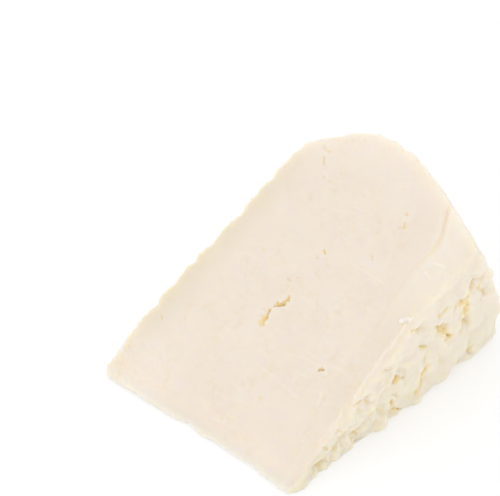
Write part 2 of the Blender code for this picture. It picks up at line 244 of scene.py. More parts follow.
# How yellow each kind of mark is at its deepest and how pale each kind of line is, from 0 to 1, and the
# depths or heights at which they are so, or between which they become so. In eyes, creases and pits this
# yellow is partly a stain and partly painted shade of the light that sinks into them
EYE_STAIN_AND_SHADE_DEPTH = 0.45
SPECK_STAIN = 0.55
CREASE_STAIN_AND_SHADE = 0.35
CREASE_STAIN_AND_SHADE_DEPTH = 0.1
PIT_STAIN_AND_SHADE = 0.65
PIT_STAIN_AND_SHADE_DEPTHS = (0.03, 0.8)
SCRATCH_PALENESS = 0.7
SCRATCH_PALE_DEPTH = 0.08
SMEAR_PALE_HEIGHTS = (0.02, 0.35)

# The cut faces: how far they swell, over what radius and height, and where in the noise, and then the same
# for the knife's brushing
CUT_SWELL = 0.35
CUT_SWELL_OUT = 20.0
CUT_SWELL_ALONG = 26.0
CUT_SWELL_SEED = 1.7
BRUSHING = 0.03
BRUSHING_OUT = 1.6
BRUSHING_ALONG = 14.0
BRUSHING_SEED = 5.2

# Eyes, lines, smears and pits are strokes: how far each kind wanders, and over what length
EYE_RAGGEDNESS = 0.3
EYE_GRAIN = 0.9
SCRATCH_RAGGEDNESS = 0.1
SCRATCH_GRAIN = 3.0
SMEAR_RAGGEDNESS = 0.5
SMEAR_GRAIN = 2.4
# Where in the noise their raggedness lies, how much and how finely their width varies, and which share of the
# half width is as deep as the middle
STROKE_SEED = 7.0
WIDTH_SPREAD = 0.8
WIDTH_GRAIN = 1.9
STROKE_FLOOR = 0.1
# The eyes: one place, another one, half the width, the depth. The largest is the ragged split near the
# middle, the first twelve rows
UPPER_EYES = (
    (44.9, 29.6, 44.2, 29.2, 0.50, 0.55),
    (44.2, 29.2, 42.6, 30.0, 0.72, 0.70),
    (42.5, 29.9, 41.4, 31.0, 0.55, 1.30),
    (41.5, 31.0, 41.9, 31.5, 0.45, 0.70),
    (41.3, 31.2, 40.7, 31.9, 0.35, 0.55),
    (40.7, 31.9, 39.5, 32.3, 0.20, 0.30),
    (39.5, 32.3, 38.4, 32.3, 0.45, 1.10),
    (38.6, 32.5, 38.8, 33.6, 0.40, 0.16),
    (38.4, 32.3, 37.5, 31.9, 0.45, 0.90),
    (37.5, 31.9, 36.3, 32.0, 0.70, 0.85),
    (36.3, 32.0, 35.1, 31.4, 0.60, 0.55),
    (37.0, 32.7, 35.2, 32.0, 1.20, 0.34),
    (32.6, 10.6, 33.1, 9.7, 0.42, 0.90),
    (32.9, 10.2, 33.3, 10.5, 0.32, 0.70),
    (59.3, 28.1, 59.1, 27.8, 0.42, 0.60),
    (57.3, 29.0, 57.1, 28.8, 0.35, 0.30),
    (78.0, 14.4, 77.9, 14.0, 0.50, 0.25),
    (75.6, 13.0, 74.6, 12.7, 0.50, 0.28),
    (74.6, 12.7, 73.8, 13.7, 0.45, 0.20),
    (72.6, 14.6, 72.0, 13.9, 0.35, 0.15),
    (64.5, 16.3, 63.5, 15.0, 0.38, 0.26),
    (83.6, 45.5, 82.9, 43.2, 0.45, 0.22),
    (81.1, 43.6, 79.4, 42.4, 0.50, 0.28),
    (76.4, 40.6, 76.4, 40.0, 0.45, 0.20),
    (48.7, 32.5, 48.5, 31.9, 0.35, 0.25),
    (50.1, 30.6, 49.8, 30.2, 0.35, 0.20),
    (23.6, 58.0, 23.0, 57.4, 0.45, 0.30),
)
LOWER_EYES = (
    (59.0, 38.0, 62.5, 41.5, 0.80, 1.01),
    (27.0, 22.0, 28.5, 20.5, 0.60, 0.76),
    (71.0, 14.0, 71.6, 12.6, 0.55, 0.59),
    (41.0, 50.0, 41.6, 49.0, 0.50, 0.50),
)
# Specks of deeper yellow in the upper cut face, each a shallow dent: place and half width
SPECK_DEPTH = 0.12
SPECKS = (
    (41.8, 56.4, 0.4), (44.0, 43.8, 0.5), (35.4, 40.6, 0.3), (22.0, 5.5, 0.6), (9.4, 26.6, 0.7),
    (10.2, 25.2, 0.6), (12.7, 11.8, 0.5), (22.7, 12.5, 0.4), (11.9, 36.6, 0.4), (79.3, 36.8, 0.5),
    (86.5, 37.3, 0.5), (90.0, 35.9, 0.6), (90.7, 30.6, 0.4), (91.2, 28.5, 0.4), (88.2, 18.8, 0.4),
    (83.2, 18.6, 0.4), (64.8, 32.9, 0.4), (65.7, 26.9, 0.5), (47.0, 16.3, 0.4), (19.0, 20.1, 0.8),
    (68.9, 47.3, 0.4), (30.6, 50.2, 0.4), (54.1, 39.5, 0.3), (26.8, 33.1, 0.4),
)
# Thin lines that the knife left along the upper cut face, as the eyes are given
SCRATCHES = (
    (60.2, 22.0, 59.6, 7.7, 0.28, 0.06),
    (34.8, 16.9, 35.1, 5.3, 0.26, 0.05),
    (31.9, 21.1, 34.7, 6.0, 0.24, 0.04),
    (25.6, 24.9, 23.9, 11.0, 0.26, 0.06),
    (25.0, 6.0, 28.0, 6.9, 0.30, 0.08),
    (17.8, 3.7, 15.1, 3.8, 0.40, 0.12),
    (15.7, 57.6, 15.2, 55.5, 0.35, 0.10),
)
# The crease across the far corner of the thin edge, as the eyes are given
CORNER_CREASE = (
    (8.8, 60.3, 6.1, 59.4, 0.60, 0.12),
    (6.1, 59.4, 3.4, 58.7, 0.60, 0.14),
)
# Soft curd smeared over the strip's outer edge: strokes again, but the last number is how far they stand out.
# They lie below this height, and within this depth below the upper cut
SMEARS_BELOW = 4.0
SMEARS_WITHIN = 5.0
SMEARS = (
    (53.5, -1.1, 54.9, -2.2, 0.80, 0.90),
    (68.8, 2.4, 70.3, 1.0, 0.90, 0.14),
    (70.4, 0.2, 70.9, -1.2, 0.80, 0.26),
    (70.9, -1.2, 69.6, -2.6, 1.00, 0.16),
    (67.3, 1.0, 67.1, -0.2, 0.70, 0.24),
    (66.2, -0.6, 67.6, -1.6, 0.80, 0.14),
    (66.2, -4.2, 55.9, -2.7, 0.80, 0.14),
    (55.9, -2.7, 45.8, -1.8, 0.60, 0.24),
    (45.8, -1.8, 31.3, -1.1, 0.50, 0.22),
    (31.3, -1.1, 17.3, 0.2, 0.50, 0.16),
)

# Pits between the curds of the near face: how far round them the skin is broken, and how widely they open in
# the crannies between curds, between crumbs and between grains
PIT_REACH = 3.2
PIT_IN_VALLEY = 3.0
PIT_IN_NOOK = 2.6
PIT_IN_CHINK = 0.6
# The soft hollow of each pit: how far and over what length it wanders, its width and depth as shares of the
# pit's, and how far it opens on a curd
HOLLOW_RAGGEDNESS = 0.8
HOLLOW_GRAIN = 5.0
HOLLOW_SPREAD = 2.4
HOLLOW_DEPTH = 0.4
HOLLOW_ON_CURD = 0.3
# The jagged core in it: the same, how far it opens in the crannies, how much narrower it is at its end, and
# how far and how finely it is jagged
CORE_RAGGEDNESS = 0.5
CORE_GRAIN = 2.2
CORE_SPREAD = 1.1
CORE_DEPTH = 0.8
CORE_ON_CURD = 0.75
CORE_IN_CRANNY = 0.6
CORE_TAPER = 0.65
CORE_JAG = 0.3
CORE_JAG_GRAIN = 1.3
# Each pit, from one X and Z to another, half its width, its depth
NEAR_PITS = (
    (45.4, 27.6, 47.4, 26.6, 0.9, 0.40),
    (68.8, 28.8, 68.0, 27.2, 1.2, 0.90),
    (66.6, 25.6, 68.6, 27.6, 1.2, 1.10),
    (66.6, 25.6, 63.6, 24.0, 1.3, 1.15),
    (66.8, 21.6, 66.3, 15.6, 1.3, 1.10),
    (66.8, 21.6, 67.0, 24.6, 0.9, 0.60),
    (58.4, 26.4, 55.6, 25.4, 0.9, 0.68),
    (57.6, 20.2, 54.8, 22.4, 1.2, 1.15),
    (58.0, 19.6, 61.4, 15.0, 1.2, 1.12),
    (50.6, 18.2, 52.2, 17.4, 0.6, 0.60),
    (52.4, 16.6, 51.2, 12.0, 0.6, 0.45),
    (71.2, 5.8, 70.2, 4.0, 0.6, 0.60),
    (65.2, 2.6, 63.4, 1.0, 0.8, 0.75),
    (37.6, 19.0, 34.8, 19.9, 0.45, 0.35),
    (40.8, 13.2, 43.4, 12.2, 1.0, 1.20),
    (51.4, 9.6, 50.2, 6.4, 1.2, 1.20),
    (50.2, 6.4, 48.2, 5.2, 1.1, 0.85),
    (39.4, 9.0, 41.2, 8.3, 0.7, 0.45),
    (39.6, 7.6, 40.6, 3.4, 0.7, 0.50),
    (40.6, 3.4, 43.8, 0.6, 1.0, 0.70),
    (25.6, 15.0, 27.8, 14.4, 0.7, 0.35),
    (31.2, 17.0, 30.2, 14.6, 0.8, 0.18),
    (19.0, 11.6, 20.6, 9.8, 0.9, 0.30),
    (23.4, 9.6, 22.2, 8.0, 0.7, 0.25),
    (28.4, 8.4, 29.6, 6.6, 0.6, 0.25),
    (26.6, 5.2, 27.4, 3.2, 0.7, 0.45),
    (25.8, 3.0, 23.6, 1.8, 0.7, 0.40),
    (18.6, 5.0, 16.8, 6.0, 0.7, 0.30),
    (15.4, 7.2, 13.8, 9.0, 0.8, 0.30),
    (11.4, 2.6, 9.6, 0.6, 0.4, 0.12),
    (71.2, 25.4, 74.8, 21.2, 0.7, 0.45),
)

# Low mounds, and bites as mounds below zero: the place of the middle, half the width, how far they stand out.
# Those at the upper cut's edges fade out between two depths below it, and the last nine make the rim wavy
EDGE_MOUND_FADE = (0.5, 3.5)
UPPER_EDGE_MOUNDS = (
    (12.4, 62.4, 3.6, -0.9),
    (16.4, 65.0, 2.6, -1.0),
    (19.4, 63.6, 2.2, 0.5),
    (25.6, 62.2, 2.2, -0.9),
    (29.4, 61.8, 1.8, 0.3),
    (33.0, 62.8, 3.0, -1.2),
    (40.5, 60.2, 2.2, -0.7),
    (47.0, 59.0, 2.2, -0.6),
    (58.0, 57.8, 3.6, -2.2),
    (64.5, 56.0, 2.2, -0.8),
    (70.0, 54.8, 2.2, -1.1),
    (76.5, 54.4, 2.4, -1.2),
    (80.8, 52.4, 2.2, -1.2),
    (83.5, -5.0, 5.0, -2.0),
    (93.0, 28.0, 2.0, 0.3),
    (92.5, 25.3, 1.3, -0.6),
    (92.0, 22.2, 1.8, 0.3),
    (91.7, 19.7, 1.3, -0.6),
    (91.2, 17.3, 1.6, 0.3),
    (90.3, 14.5, 1.3, -0.6),
    (89.4, 11.8, 1.6, 0.3),
    (88.1, 9.0, 1.3, -0.6),
    (86.6, 5.8, 1.2, -0.5),
)
NEAR_MOUNDS = (
    (6.5, 1.0, 8.0, 0.9),
    (17.4, 1.4, 4.4, 1.2),
    (26.0, 1.0, 3.4, 0.5),
    (35.8, 2.0, 4.8, 1.5),
    (48.0, 1.8, 4.4, 1.4),
    (59.0, 1.6, 4.0, 0.6),
    (72.0, 1.6, 4.5, 0.9),
    (76.6, 28.0, 4.5, 1.2),
    (82.0, 6.5, 5.5, -1.0),
)

# The points lie closer on faces that turn this far to the near side, and this close to the marks of faces
# that lie this squarely along the upper cut
FINE_TURN = 0.5
FINE_REACH = 0.7
FINE_SQUARENESS = 0.9
# How often each point is averaged with its neighbours to tell what lies in a hollow and what stands out
HOLLOW_ROUNDS = 24

# The faint mosaic of curds on the cut face: how wide they are, how far their seams wander, over what length
MOSAIC_WIDTH = 6.5
MOSAIC_WANDER = 3.5
MOSAIC_WAVE = 7.0
# Between which heights above the floor the natural skin turns from its low colour to its high one
SKIN_HEIGHTS = (2.0, 26.0)
# How much of its colour the deepest stain and painted shade, and the palest smear and painted light, shows
MARK_STRENGTH = 0.85

# Colours as sRGB codes. The cut face: the mosaic's two tints, patches, seams, mottles, veils, and the
# yellower band, which is partly painted shade
CURD_TINTS = ("ECE1D4", "EEE4D8")
CUT_PATCH = "ECE0D1"
SEAM = "E8D6B8"
MOTTLE = "E9DDC9"
VEIL = "F2EAE0"
WARM_BAND_AND_SHADE = "E3D9C3"
# The natural skin, low down and high up, and its patches
LOW_SKIN = "EAE2CF"
HIGH_SKIN = "EDE3D3"
SKIN_PATCH = "EEE4D4"
# The painted shade of the foot, the low end and the thin edge, stains that are partly painted shade, the
# painted shade of hollows, the painted highlight on what stands out, and smears that also serve as painted
# light
PAINTED_SHADE_GREY = "D6CEBA"
THIN_EDGE_PAINTED_SHADE = "DFDBD7"
STAIN_AND_SHADE = "F5DB98"
HOLLOW_YELLOW_AND_SHADE = "F3E1AC"
PROUD_HIGHLIGHT = "F1E8DA"
CREAM_AND_LIGHT = "F5EDE3"
# The floor and the light
FLOOR_GREY = "CCCCCC"
WHITE = "FFFFFF"

# How far the floor reaches, in metres
FLOOR_REACH = 3.0

# The camera, from the photo: a long lens, looking down on the near face and the thin edge. Its distance, the
# width of the frame there, and the place that it aims at are in millimetres
AZIMUTH = -48.73
ELEVATION = 40.0
DISTANCE = 600.0
FRAME_WIDTH = 140.0
AIM = (19.4, 40.3, 0.0)

UPPER_OUT = Vector((-math.sin(math.radians(WEDGE_ANGLE)), 0.0, math.cos(math.radians(WEDGE_ANGLE))))
LOWER_OUT = Vector((0.0, 0.0, -1.0))


def ramp(low, high, value):
    """0 up to low, 1 from high on, and smooth between them. low may be the larger of the two."""
    t = min(max((value - low) / (high - low), 0.0), 1.0)
    return t * t * (3.0 - 2.0 * t)


def between(points, value):
    """The value that a line through the points has at this place."""
    for (x0, y0), (x1, y1) in zip(points, points[1:]):
        if value <= x1:
            return y0 + (y1 - y0) * max(value - x0, 0.0) / (x1 - x0)
    return points[-1][1]


def axis_distance(place):
    """How far a place is from the wheel's axis."""
    return math.hypot(place.x, place.z)


# The plain wedge

def near_side(radius):
    """Height along the axis of the wheel's near face, which is domed a little and flares towards the rim."""
    out = radius / NEAR_RIM_RADIUS
    return NEAR_RIM_HEIGHT * (NEAR_START + NEAR_SLOPE * out + NEAR_CURVE * out * out)


def far_side(radius):
    """Height of the far face, which is gently domed."""
    out = radius / FAR_RIM_RADIUS
    fall = FAR_SLOPE * out + FAR_CURVE * out * out
    return CENTRE_THICKNESS + (FAR_RIM_HEIGHT - CENTRE_THICKNESS) * fall


def rind_radius(height):
    """Radius of the rind, which bulges at mid height and falls away to both rims."""
    if height < BULGE_HEIGHT:
        fall = (BULGE_HEIGHT - height) / (BULGE_HEIGHT - NEAR_RIM_HEIGHT)
        return BULGE_RADIUS - (BULGE_RADIUS - NEAR_RIM_RADIUS) * fall ** NEAR_FALL
    fall = (height - BULGE_HEIGHT) / (FAR_RIM_HEIGHT - BULGE_HEIGHT)
    return BULGE_RADIUS - (BULGE_RADIUS - FAR_RIM_RADIUS) * fall ** FAR_FALL


def wheel_outline():
    """Half of the wheel's section: out along the near face, up the rind, back along the far face."""
    width = NEAR_RIM_RADIUS - THIN_EDGE_RADIUS
    thickness = FAR_RIM_HEIGHT - NEAR_RIM_HEIGHT
    radii = [THIN_EDGE_RADIUS + width * i / FACE_STEPS for i in range(FACE_STEPS)]
    heights = [NEAR_RIM_HEIGHT + thickness * i / RIND_STEPS for i in range(RIND_STEPS + 1)]
    near = [(r, near_side(r)) for r in radii]
    rind = [(rind_radius(y), y) for y in heights]
    far = [(r, far_side(r)) for r in reversed(radii[1:])]
    top = far_side(THIN_EDGE_RADIUS)
    thin_corner = [
        (THIN_EDGE_RADIUS + THIN_CORNER_CUT, top - CORNER_SLOPE * THIN_CORNER_CUT),
        (THIN_EDGE_RADIUS, top - THIN_CORNER_CUT),
    ]
    return near + rind + far + thin_corner


def spin_wedge():
    """The plain wedge: the wheel's section spun about the axis through the wedge's angle."""
    bm = bmesh.new()
    corners = [bm.verts.new((r, y, 0.0)) for r, y in wheel_outline()]
    section = bm.faces.new(corners)
    bmesh.ops.spin(
        bm, geom=[section, *section.edges, *section.verts], cent=(0, 0, 0), axis=(0, -1, 0),
        angle=math.radians(WEDGE_ANGLE), steps=ANGLE_STEPS, use_merge=False,
    )
    bmesh.ops.recalc_face_normals(bm, faces=bm.faces)
    mesh = bpy.data.meshes.new("cheese_wedge")
    bm.to_mesh(mesh)
    bm.free()
    return mesh


def applied(obj, kind, **settings):
    """Adds a modifier to the object and puts its result in the object's mesh."""
    modifier = obj.modifiers.new(kind.title(), kind)
    for name, value in settings.items():
        setattr(modifier, name, value)
    depsgraph = bpy.context.evaluated_depsgraph_get()
    result = bpy.data.meshes.new_from_object(obj.evaluated_get(depsgraph))
    obj.modifiers.clear()
    old = obj.data
    obj.data = result
    bpy.data.meshes.remove(old)


def pressed(place):
    """Where a point of the plain wedge ends up: the strip beside the near face sinks, most at the rim."""
    radius = axis_distance(place)
    share = math.atan2(place.z, place.x) / math.radians(WEDGE_ANGLE)
    fold = between(FOLD, radius)
    across = min(max((fold - place.y) / (fold - near_side(radius)), 0.0), 1.0)
    drop = STRIP_DROP * across ** 2 + RIM_DROP * across * ramp(*RIM_DROP_RADII, radius)
    lowered = Matrix.Rotation(drop / max(radius, LOW_LEVER) * share, 3, "Y") @ place
    pull = RIM_PULL * ramp(*RIM_PULL_SHARES, share) + BASE_PULL * (1.0 - ramp(*BASE_PULL_SHARES, share))
    shrink = 1.0 - pull * ramp(*PULL_HEIGHTS, place.y) * ramp(*PULL_RADII, radius) / radius
    return Vector((lowered.x * shrink, lowered.y, lowered.z * shrink))


def drift(place):
    """How far the soft wedge is out of true here: its outline wanders, but the knife's faces stay flat."""
    move = FINE_DRIFT * noise.noise_vector(place / FINE_WAVE)
    move += WIDE_DRIFT * noise.noise_vector(place / WIDE_WAVE)
    bow = THIN_BOW * ((2.0 * place.y / CENTRE_THICKNESS - 1.0) ** 2 - BOW_IN)
    thin = Vector((FINE_DRIFT * noise.noise(place / FINE_WAVE) - bow, 0.0, 0.0))
    for out, depth in ((UPPER_OUT, -place.dot(UPPER_OUT)), (LOWER_OUT, place.z)):
        move -= (1.0 - ramp(*DRIFT_DEPTHS, depth)) * move.dot(out) * out
    return move + (1.0 - ramp(*BOW_FADE, place.x)) * thin


def press_strip(bm):
    """Presses the strip down beside the near face, pulls the rim in there and lets the outline wander."""
    for vert in bm.verts:
        vert.co = pressed(vert.co) + drift(vert.co)


def blur(bm, verts, width):
    """Smooths these points until an edge among them is about this wide, in millimetres."""
    for _ in range(round(2.0 * (width / SKIN_SPACING) ** 2) + 1):
        bmesh.ops.smooth_vert(bm, verts=verts, factor=0.5, use_axis_x=True, use_axis_y=True, use_axis_z=True)


def round_edges(bm):
    """Softens the knife's edges, most at the thin edge and where the strip turns down into the near face."""
    reach = 2.0 * STRIP_ROUNDING

    def turns_down(vert):
        depth = min(vert.co.z, -vert.co.dot(UPPER_OUT))
        return depth < reach and abs(vert.co.y - near_side(axis_distance(vert.co))) < reach

    blur(bm, bm.verts, EDGE_ROUNDING)
    blur(bm, [vert for vert in bm.verts if axis_distance(vert.co) < THIN_REACH], THIN_ROUNDING)
    strip = [vert for vert in bm.verts if turns_down(vert)]
    blur(bm, strip, STRIP_ROUNDING)
    for start in ROLL_STARTS:
        blur(bm, [vert for vert in strip if axis_distance(vert.co) > start], STRIP_ROUNDING)


# The relief

def beside_stroke(u, v, stroke):
    """Distance from (u, v) to the line of a stroke, and how far along it the nearest place is, 0 to 1."""
    u0, v0, u1, v1 = stroke[:4]
    along_u, along_v, here_u, here_v = u1 - u0, v1 - v0, u - u0, v - v0
    length_squared = max(along_u * along_u + along_v * along_v, 1e-6)
    share = min(max((here_u * along_u + here_v * along_v) / length_squared, 0.0), 1.0)
    return math.hypot(here_u - share * along_u, here_v - share * along_v), share


def stroke_distance(u, v, stroke):
    """Distance from (u, v) to the line of a stroke."""
    return beside_stroke(u, v, stroke)[0]


def dents(u, v, strokes, ragged, grain, taper=0.0):
    """Depth of the deepest of the strokes here, ragged at this grain and narrower towards their ends."""
    spot = Vector((u, v, STROKE_SEED)) / grain
    wander = ragged * noise.noise_vector(spot)
    spread = 1.0 + WIDTH_SPREAD * noise.noise(WIDTH_GRAIN * spot)
    u, v = u + wander.x, v + wander.y
    deepest = 0.0
    for stroke in strokes:
        half_width, depth = stroke[4:]
        distance, share = beside_stroke(u, v, stroke)
        away = distance / (half_width * spread * (1.0 - taper * share))
        if away < 1.0:
            deepest = max(deepest, depth * (1.0 - ramp(STROKE_FLOOR, 1.0, away)))
    return deepest


def mounds(u, v, spots):
    """How far the low mounds, or the bites, lift a place on a face."""
    return sum(
        height * (1.0 - ramp(0.0, 1.0, math.hypot(u - middle_u, v - middle_v) / half_width))
        for middle_u, middle_v, half_width, height in spots
    )


def dice(centre):
    """Three random numbers from -1 to 1 that belong to one curd."""
    return 2.0 * noise.cell_vector(centre * DICE_SPREAD) - Vector((1.0, 1.0, 1.0))


def curds(place, size, seed, broken):
    """Height of rounded curds pressed side by side, and how deep in a valley between them a place lies."""
    spot = place / size + Vector([part * seed for part in SEED_WAY])
    spot += CURD_WARP * noise.noise_vector(spot * WARP_GRAIN)
    lift = CURD_LIFT * (WHOLE_LIFT_SHARE + (1.0 - WHOLE_LIFT_SHARE) * broken)
    caps = (
        math.exp((lift * dice(centre).x - distance ** 2) / CURD_MELT)
        for distance, centre in zip(*noise.voronoi(spot))
    )
    dome = CURD_MIDDLE + CURD_MELT * math.log(sum(caps))
    valley = max(-dome, 0.0)
    bulge = WHOLE_BULGE + (BROKEN_BULGE - WHOLE_BULGE) * broken
    return size * (bulge * dome - VALLEY_GAIN * broken * valley), valley


WIDE_PITS = [(*pit[:4], HOLLOW_SPREAD * pit[4], HOLLOW_DEPTH * pit[5]) for pit in NEAR_PITS]
CORE_PITS = [(*pit[:4], CORE_SPREAD * pit[4], CORE_DEPTH * pit[5]) for pit in NEAR_PITS]
SPECK_DENTS = [(u, v, u, v, half_width, SPECK_DEPTH) for u, v, half_width in SPECKS]


def crumbliness(place, facing_near):
    """How broken the natural skin is here, from 0 to 1: in patches, and on the near face round its pits."""
    patches = ramp(*BREAK_EDGE, noise.noise(place / BREAK_WIDTH + BREAK_SPOT))
    if facing_near <= 0.0:
        return patches
    nearest = min(stroke_distance(place.x, place.z, pit) for pit in NEAR_PITS)
    whole = SKIN_WHOLENESS * ramp(*CRUMBLY_END, place.x) * (1.0 - math.exp(-((nearest / PIT_REACH) ** 2)))
    broken = (1.0 - whole) * ramp(*BREAK_DEPTHS, -place.dot(UPPER_OUT))
    return facing_near * broken + (1.0 - facing_near) * patches


def near_pits(place, crannies):
    """Depth of the near face's pits: jagged cores in soft hollows, opening in the crannies of the curds."""
    hollow = dents(place.x, place.z, WIDE_PITS, HOLLOW_RAGGEDNESS, HOLLOW_GRAIN)
    jagged = place + CORE_JAG * noise.noise_vector(place / CORE_JAG_GRAIN)
    core = dents(jagged.x, jagged.z, CORE_PITS, CORE_RAGGEDNESS, CORE_GRAIN, CORE_TAPER)
    return hollow * (HOLLOW_ON_CURD + crannies) + core * (CORE_ON_CURD + CORE_IN_CRANNY * crannies)


def natural_surface(place, facing_near):
    """Height of the wheel's own skin, curds, crumbs and grains on a slow swell, and how far a pit opens."""
    crumbly = crumbliness(place, facing_near)
    large, valley = curds(place, CURD, CURD_SEED, crumbly)
    small, nook = curds(place, CRUMB, CRUMB_SEED, crumbly)
    tiny, chink = curds(place, GRAIN, GRAIN_SEED, crumbly)
    low_end = facing_near * (1.0 - ramp(*CRUMBLY_END, place.x))
    loose = crumbly * max(ramp(*CRUMB_PATCH_EDGE, noise.noise(place / CRUMB_PATCH)), low_end)
    crannies = PIT_IN_VALLEY * valley + PIT_IN_NOOK * nook + PIT_IN_CHINK * chink
    opened = facing_near * near_pits(place, crannies) if facing_near > 0.0 else 0.0
    swell = SKIN_SWELL * noise.noise(place / SWELL_WIDTH)
    return large + loose * (CRUMB_SHARE * small + GRAIN_SHARE * tiny) + swell - opened, opened


def cut_surface(radius, height, eyes):
    """Height of a cut face over its plane, and the depth of the eyes in it."""
    slow = Vector((radius / CUT_SWELL_OUT, height / CUT_SWELL_ALONG, CUT_SWELL_SEED))
    fine = Vector((radius / BRUSHING_OUT, height / BRUSHING_ALONG, BRUSHING_SEED))
    surface = CUT_SWELL * noise.noise(slow) + BRUSHING * noise.noise(fine)
    eye = dents(radius, height, eyes, EYE_RAGGEDNESS, EYE_GRAIN)
    return surface - eye, eye


def strip_groove(radius, height):
    """Depth of the groove along the fold, which is deepest near the rim."""
    away = (between(FOLD, radius) - height) / FOLD_WIDTH
    return (FOLD_GROOVE + RIM_GROOVE * ramp(*RIM_GROOVE_START, radius)) * math.exp(-(away ** 2))


def fold_stain_and_shade(radius, height, groove):
    """How yellow the groove along the fold is, in stretches: partly a stain, partly painted shade."""
    spot = Vector((radius / FOLD_TINT_STRETCH, height / FOLD_TINT_STRETCH, STRETCH_SEED))
    stretch = STRETCH_LEAST + (1.0 - STRETCH_LEAST) * ramp(*STRETCH_EDGE, noise.noise(spot))
    return FOLD_STAIN_AND_SHADE * stretch * ramp(*FOLD_TINT_DEPTHS, groove / FOLD_GROOVE)


def pale_corner(radius, height):
    """How pale the cut face is near the thin edge's far corner, in soft flecks."""
    patch = ramp(*FLECKS_UP, height) * (1.0 - ramp(*FLECKS_OUT, radius))
    fleck = ramp(*FLECK_EDGE, noise.noise(Vector((radius, height, 0.0))))
    return FLECK_PALENESS * patch * (FLECK_LEAST + (1.0 - FLECK_LEAST) * fleck)


def upper_cut(radius, height):
    """The upper cut face: its height, how yellow its eyes and creases are, partly by painted shade, how pale
    the knife's lines.
    """
    surface, eye = cut_surface(radius, height, UPPER_EYES)
    speck = dents(radius, height, SPECK_DENTS, EYE_RAGGEDNESS, EYE_GRAIN)
    scratch = dents(radius, height, SCRATCHES, SCRATCH_RAGGEDNESS, SCRATCH_GRAIN)
    crease = dents(radius, height, CORNER_CREASE, EYE_RAGGEDNESS, EYE_GRAIN)
    groove = strip_groove(radius, height)
    stain_and_shade = max(
        ramp(0.0, EYE_STAIN_AND_SHADE_DEPTH, eye),
        SPECK_STAIN * ramp(0.0, SPECK_DEPTH, speck),
        CREASE_STAIN_AND_SHADE * ramp(0.0, CREASE_STAIN_AND_SHADE_DEPTH, crease),
        fold_stain_and_shade(radius, height, groove),
    )
    pale = max(SCRATCH_PALENESS * ramp(0.0, SCRATCH_PALE_DEPTH, scratch), pale_corner(radius, height))
    return surface - speck - scratch - crease - groove, stain_and_shade, pale


def on_strip(radius, height):
    """How fully a place is on the near side of the fold, from 0 to 1."""
    return ramp(*PAST_FOLD, between(FOLD, radius) - height)


def shape_tints(radius, height, below_top, upper, natural):
    """How far a place has the natural skin's colour, how painted light pales it on the strip and rim, and how
    warm and shaded it is.
    """
    strip = on_strip(radius, height)
    skin = max(natural, strip * ramp(*STRIP_SKIN, radius))
    # Painted light: the strip and the cut face's rim turn paler, as light shines through their edges
    along = STRIP_LIGHT_LEAST + (1.0 - STRIP_LIGHT_LEAST) * ramp(*STRIP_LIGHT_RADII, radius)
    strip_light = strip * along * (1.0 - ramp(*STRIP_LIGHT_DEPTHS, below_top))
    pale = STRIP_PAINTED_LIGHT * max(strip_light, RIM_LIGHT_SHARE * upper * ramp(*RIM_LIGHT_RADII, radius))
    # The far edge's yellower band: partly its own colour, partly painted shade and reflected warm light
    warm_and_shade = upper * ramp(-FAR_BAND, 0.0, height - far_side(radius)) * (1.0 - ramp(*FAR_BAND_END, radius))
    return skin, pale, warm_and_shade


def painted_low_shade(place, radius, natural):
    """How much painted shade greys the foot, the low end of the near face and the low end of the strip here.
    """
    foot = FOOT_PAINTED_SHADE * natural * ramp(FOOT_TOP, FOOT_FULL, place.z)
    low_end = LOW_END_PAINTED_SHADE * natural * (1.0 - ramp(*LOW_END, radius))
    strip = STRIP_PAINTED_SHADE * (1.0 - natural) * on_strip(radius, place.y) * (1.0 - ramp(*STRIP_LIGHT_RADII, radius))
    return max(foot, low_end, strip)


